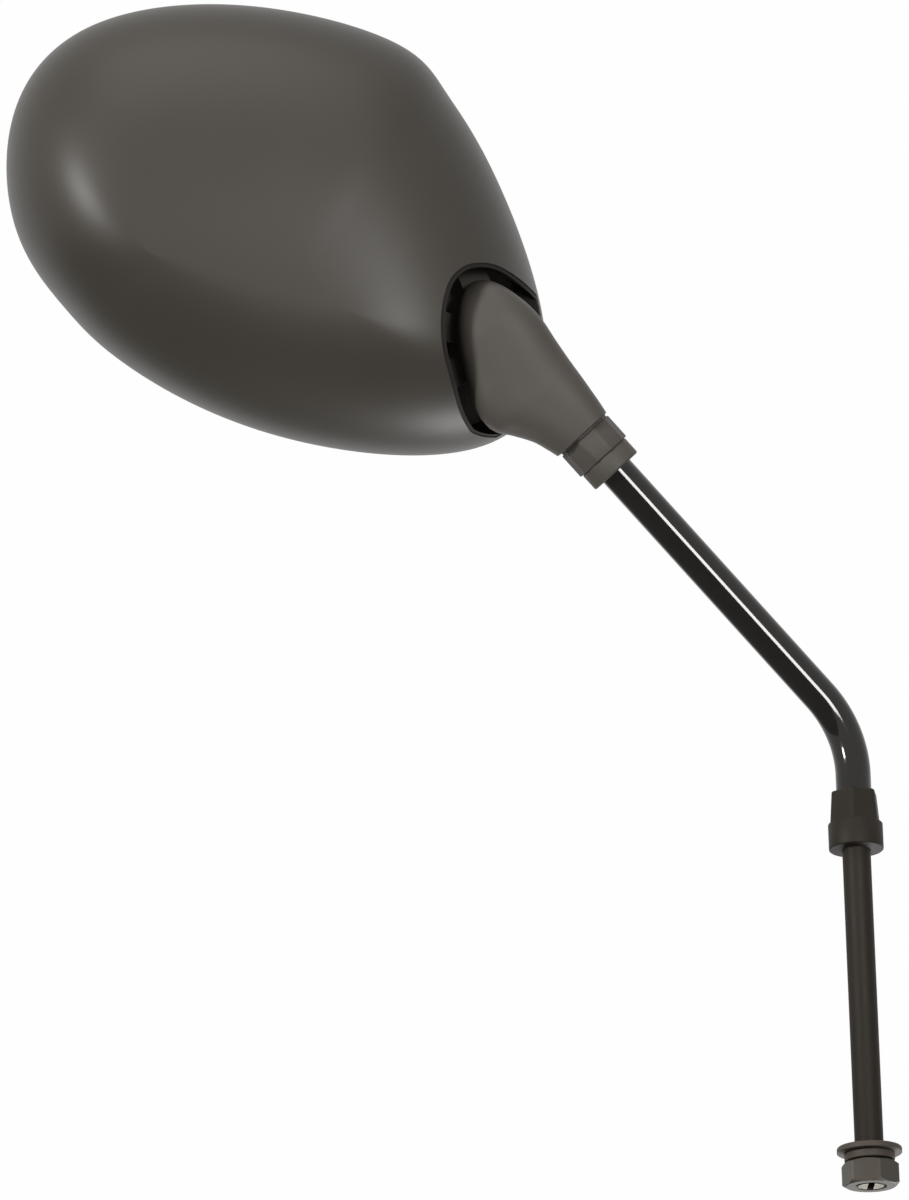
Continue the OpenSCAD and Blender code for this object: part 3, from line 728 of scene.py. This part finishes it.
# The seats and springs are electro-coated black after pressing: an even thin satin paint
coated, tree = blank("electrocoated_steel")
place = add(tree, "TexCoord")
cloud = add(tree, "TexNoise", {"Vector": (place, "Object"), "Scale": per_metre(6), "Detail": 3.0})
tone = add(tree, "Mix", {0: (cloud, "Fac"), 6: linear("#332f2b"), 7: linear("#3f3a35")}, data_type="RGBA")
satin = add(tree, "BsdfPrincipled", {
    "Base Color": (tone, 2), "Roughness": 0.6, "IOR": 1.5, "Specular IOR Level": 0.15})
add(tree, "OutputMaterial", {"Surface": (satin, "BSDF")})
refinish(coated, "socket_base", "socket_cap", "socket_springs")
refinish(zinc, "socket_screws", "socket_washers", "carrier_screws", "neck_grub_screw")

# Glass carrier and pad
# A moulded grey tray, curved like the glass, screwed to the shell's posts. The glass is stuck
# to it by a sheet of black foam.
carrier, tree = blank("moulded_abs_grey")
place = add(tree, "TexCoord")
grains = add(tree, "TexNoise", {"Vector": (place, "Object"), "Scale": per_metre(0.8), "Detail": 2.0})
bump = add(tree, "Bump", {"Height": (grains, "Fac"), "Distance": 0.01 * MM})
plastic = add(tree, "BsdfPrincipled", {
    "Base Color": linear("#7a746b"), "Roughness": 0.5, "IOR": 1.5, "Specular IOR Level": 0.3,
    "Normal": (bump, "Normal")})
add(tree, "OutputMaterial", {"Surface": (plastic, "BSDF")})
refinish(carrier, "glass_carrier")
# Cut foam shows its open cells, half a millimetre across
foam, tree = blank("black_foam")
place = add(tree, "TexCoord")
cells = add(tree, "TexVoronoi", {"Vector": (place, "Object"), "Scale": per_metre(0.5)})
bump = add(tree, "Bump", {"Height": (cells, "Distance"), "Distance": 0.1 * MM})
soft = add(tree, "BsdfPrincipled", {
    "Base Color": linear("#1b1a19"), "Roughness": 0.95, "Normal": (bump, "Normal")})
add(tree, "OutputMaterial", {"Surface": (soft, "BSDF")})
refinish(foam, "glass_pad")

# Mirror glass
# A plate of 2 mm glass bent to a radius of 1.2 m and silvered on its back, with its edge ground
# flat and its arrises eased.
CROWN_Y = 26.5 * MM
GLASS_T = 2 * MM
GLASS_INSET = 4.8 * MM
ARRIS = 0.25 * MM
GLASS_RINGS = 28
# The front face alone turns this far to the rider
FRONT_FACING = 0.5


def glass_rings(y, more, shares):
    """Rings on one face of the glass, drawn in towards its crown by shares of the outline."""
    path = inset(outline_curve(OUTLINE_STEPS), GLASS_INSET + more)
    rows = []
    for share in shares:
        row = [GLASS_MID + (q - GLASS_MID) * share for q in path]
        rows.append([in_head((q.x, sagged(y, q.x, q.y), q.y)) for q in row])
    return rows


shares = [math.sin(math.pi / 2 * k / GLASS_RINGS) for k in range(1, GLASS_RINGS + 1)]
sheet = glass_rings(CROWN_Y, ARRIS, shares) + glass_rings(CROWN_Y - ARRIS, 0, [1])
sheet += glass_rings(CROWN_Y - GLASS_T + ARRIS, 0, [1]) + glass_rings(CROWN_Y - GLASS_T, ARRIS, shares[::-1])
# Silvered glass reflects like a very smooth metal under a clear coat of glass, slightly cool
silvered, tree = blank("silvered_glass")
place = add(tree, "TexCoord")
dust = add(tree, "TexNoise", {"Vector": (place, "Object"), "Scale": per_metre(25), "Detail": 4.0})
tone = add(tree, "Mix", {0: (dust, "Fac"), 6: linear("#dfe5e6"), 7: linear("#e6eaea")}, data_type="RGBA")
haze = add(tree, "MapRange", {"Value": (dust, "Fac"), "To Min": 0.01, "To Max": 0.03})
mirror = add(tree, "BsdfPrincipled", {
    "Base Color": (tone, 2), "Metallic": 1.0, "Roughness": (haze, "Result"), "Coat Weight": 1.0,
    "Coat Roughness": 0.01})
add(tree, "OutputMaterial", {"Surface": (mirror, "BSDF")})
# The silver's back is sealed by a dull grey-brown paint, which runs over the ground edge
sealed, tree = blank("backing_paint")
place = add(tree, "TexCoord")
brushed = add(tree, "TexNoise", {"Vector": (place, "Object"), "Scale": per_metre(3), "Detail": 3.0})
tone = add(tree, "Mix", {0: (brushed, "Fac"), 6: linear("#2e2925"), 7: linear("#3a342f")}, data_type="RGBA")
paint = add(tree, "BsdfPrincipled", {"Base Color": (tone, 2), "Roughness": 0.7, "Specular IOR Level": 0.3})
add(tree, "OutputMaterial", {"Surface": (paint, "BSDF")})
plate = solid("glass_plate", *skin(sheet))
dress(plate, silvered, "head", "glass_silvered", "mirror_glass", sharp=30)
plate.data.materials.append(sealed)
for face in plate.data.polygons:
    if face.normal.dot(FACING) < FRONT_FACING:
        face.material_index = 1

# Gasket round the glass
# A soft black rubber strip pressed into the channel between the shell's rim and the glass, with
# a rounded face.
# Its section: inset from the outline, and depth, in millimetres
STRIP = ((2.52, 22.8), (2.52, 25.1), (2.95, 25.32), (3.3, 25.4), (4.2, 25.4), (4.6, 25.3), (4.75, 25.05),
         (4.75, 22.8))
strip_rows = []
for d, y in STRIP:
    strip_rows.append([in_head((q.x, y * MM, q.y)) for q in inset(outline_curve(OUTLINE_STEPS), d * MM)])
dress(solid("rim_strip", *skin([list(row) for row in zip(*strip_rows)], closed=True)), rubber, "head",
      "gasket_rubber", "rim_gasket")

# Studio
# A wide white surround, the main lamp over the camera's right shoulder, others above, from the
# left and from below behind the head, and a pale floor far below.
PHOTO = (909, 1200)
PX_PER_MM = 3.53
RANGE = 1500 * MM
ROLL = math.radians(0.95)
PIVOT_PX = (503, 345.5)
SENSOR_MM = 36
SURROUND_SEEN = 1.0
SURROUND_LIGHT = 0.29
FLOOR_HALF = 8
FLOOR_Z = -2
scene = bpy.context.scene
scene.view_settings.view_transform = "Standard"
rise = LEVEL.cross(FACING)
picture_x = LEVEL * math.cos(ROLL) - rise * math.sin(ROLL)
picture_y = LEVEL * math.sin(ROLL) + rise * math.cos(ROLL)
off_x = (PHOTO[0] / 2 - PIVOT_PX[0]) / PX_PER_MM * MM
off_y = (PIVOT_PX[1] - PHOTO[1] / 2) / PX_PER_MM * MM
aim = PIVOT + off_x * picture_x + off_y * picture_y
camera = bpy.data.objects.new("camera", bpy.data.cameras.new("camera"))
scene.collection.objects.link(camera)
camera.matrix_world = Matrix.Translation(aim - RANGE * FACING) @ Matrix(
    (picture_x, picture_y, -FACING)).transposed().to_4x4()
camera.data.sensor_width = SENSOR_MM
camera.data.lens = camera.data.sensor_width * PX_PER_MM * RANGE / MM / PHOTO[1]
scene.camera = camera

world = bpy.data.worlds.new("surround")
scene.world = world
world.use_nodes = True
tree = world.node_tree
tree.nodes.clear()
path = add(tree, "LightPath")
seen = add(tree, "Math", {0: (path, "Is Camera Ray"), 1: (path, "Is Glossy Ray")}, operation="MAXIMUM")
seen = add(tree, "Math", {0: (seen, "Value"), 1: (path, "Is Transmission Ray")}, operation="MAXIMUM")
white = add(tree, "Background", {"Color": linear("#fefefe"), "Strength": SURROUND_SEEN})
soft = add(tree, "Background", {"Color": linear("#fefefe"), "Strength": SURROUND_LIGHT})
both = add(tree, "MixShader", {0: (seen, "Value"), 1: (soft, "Background"), 2: (white, "Background")})
add(tree, "OutputWorld", {"Surface": (both, "Shader")})


def lamp(name, side, above, distance, size, power, lean=0):
    """A soft lamp, turned by two angles from the camera's line to the head, with its width at a lean."""
    side, above, lean = math.radians(side), math.radians(above), math.radians(lean)
    way = (-FACING * math.cos(side) * math.cos(above) + picture_x * math.sin(side) * math.cos(above)
           + picture_y * math.sin(above))
    made = bpy.data.objects.new(name, bpy.data.lights.new(name, "AREA"))
    scene.collection.objects.link(made)
    made.data.shape = "RECTANGLE"
    made.data.size, made.data.size_y = size
    made.data.energy = power
    level = picture_x * math.cos(lean) + picture_y * math.sin(lean)
    width = (level - level.dot(way) * way).normalized()
    made.matrix_world = Matrix.Translation(PIVOT + way * distance) @ Matrix(
        (width, way.cross(width), way)).transposed().to_4x4()


lamp("key", 18.8, 9, 1.4, (0.42, 0.27), 10.5, lean=42)
lamp("top", -20, 70, 1.2, (0.9, 0.9), 5)
lamp("left", -50, 12, 1.4, (0.22, 0.22), 14)
lamp("under", -50, -118, 1, (0.7, 0.4), 8)

floor_mesh = bpy.data.meshes.new("floor")
corners = [(x * FLOOR_HALF, y * FLOOR_HALF, FLOOR_Z) for x, y in ((-1, -1), (1, -1), (1, 1), (-1, 1))]
floor_mesh.from_pydata(corners, [], [(0, 1, 2, 3)])
floor = bpy.data.objects.new("floor", floor_mesh)
scene.collection.objects.link(floor)
pale, tree = blank("pale_floor")
matt = add(tree, "BsdfPrincipled", {"Base Color": linear("#f2f2f0"), "Roughness": 0.9})
add(tree, "OutputMaterial", {"Surface": (matt, "BSDF")})
floor_mesh.materials.append(pale)
